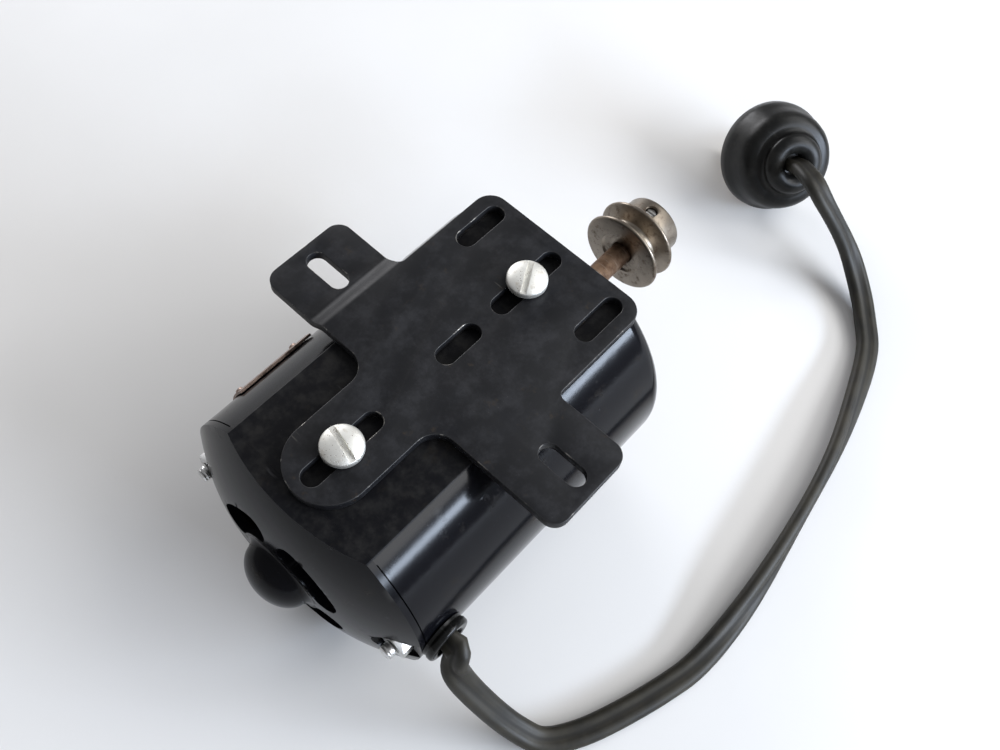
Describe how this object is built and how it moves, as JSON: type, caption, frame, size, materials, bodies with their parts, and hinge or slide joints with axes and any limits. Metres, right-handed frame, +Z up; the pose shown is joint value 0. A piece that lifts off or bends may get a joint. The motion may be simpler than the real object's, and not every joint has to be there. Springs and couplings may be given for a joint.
{
  "type": "sewing machine motor",
  "caption": "Flat-sided black sewing machine motor with a slotted cross-shaped mounting bracket, grooved belt pulley, short flat cord and round plug.",
  "frame": {"origin": "bottom centre of the motor's bounding box, the cord and plug left out, on the surface it lies on", "axes": "+Y along the shaft towards the pulley, +Z up out of the bracket, +X towards the cord's side"},
  "size_m": [0.1352, 0.2322, 0.0746],
  "materials": {
    "black_enamel": "gloss black enamel with light scuffs",
    "bracket_black": "satin black japanned steel, worn bright at the edges",
    "bronze": "oil-darkened sintered bronze",
    "rusty_shaft": "ground steel browned by rust",
    "laminations": "stacked steel laminations",
    "copper_wire": "varnished copper wire",
    "commutator_copper": "bare copper bars",
    "fan_steel": "plain stamped steel",
    "red_fibre": "red vulcanised fibre",
    "wrapped_coil": "coil wrapped in varnished cotton tape",
    "holder_brass": "plain brass",
    "carbon": "pressed carbon",
    "bright_steel": "bright plated steel",
    "pitted_nickel": "nickel plate, pitted and dulled",
    "aged_nickel": "nickel plate browned with age",
    "aged_brass": "thin brass, tarnished, blank",
    "moulded_rubber": "glossy moulded black",
    "cord_rubber": "dull olive-brown twin cord",
    "plug_rubber": "dusty semi-gloss black"
  },
  "bodies": {
    "motor": {"motor_housing": "black_enamel", "rear_bell": "black_enamel", "bearing_cap": "black_enamel", "rear_bearing": "bronze", "front_bearing": "bronze", "field_core": "laminations", "field_coil_left": "wrapped_coil", "field_coil_right": "wrapped_coil", "brush_plate": "red_fibre", "brush_holder_upper": "holder_brass", "brush_holder_lower": "holder_brass", "carbon_brush_upper": "carbon", "carbon_brush_lower": "carbon", "brush_spring_upper": "bright_steel", "brush_spring_lower": "bright_steel", "through_bolt_left": "bright_steel", "through_bolt_right": "bright_steel", "bolt_nut_left": "bright_steel", "bolt_nut_right": "bright_steel", "bracket_screw_front": "pitted_nickel", "bracket_screw_rear": "pitted_nickel", "name_plate": "aged_brass", "name_plate_rivet_front": "aged_brass", "name_plate_rivet_rear": "aged_brass", "cord_grommet": "moulded_rubber", "mains_cord": "cord_rubber", "plug_body": "plug_rubber", "plug_blade_left": "holder_brass", "plug_blade_right": "holder_brass"},
    "rotor": {"armature_shaft": "rusty_shaft", "armature_core": "laminations", "armature_winding_front": "copper_wire", "armature_winding_rear": "copper_wire", "commutator": "commutator_copper", "cooling_fan": "fan_steel", "thrust_washer_rear": "red_fibre", "thrust_washer_front": "red_fibre", "belt_pulley": "aged_nickel", "pulley_set_screw": "bright_steel"},
    "bracket": {"mounting_bracket": "bracket_black"}
  },
  "joints": [
    {"name": "rotor_spin", "type": "hinge", "parent": "motor", "child": "rotor", "pos_m": [0, 0, 0.03744], "axis": [0, 1, 0], "continuous": true},
    {"name": "bracket_slide", "type": "slide", "parent": "motor", "child": "bracket", "axis": [0, 1, 0], "range_m": [-0.0085, 0.0085]}
  ]
}
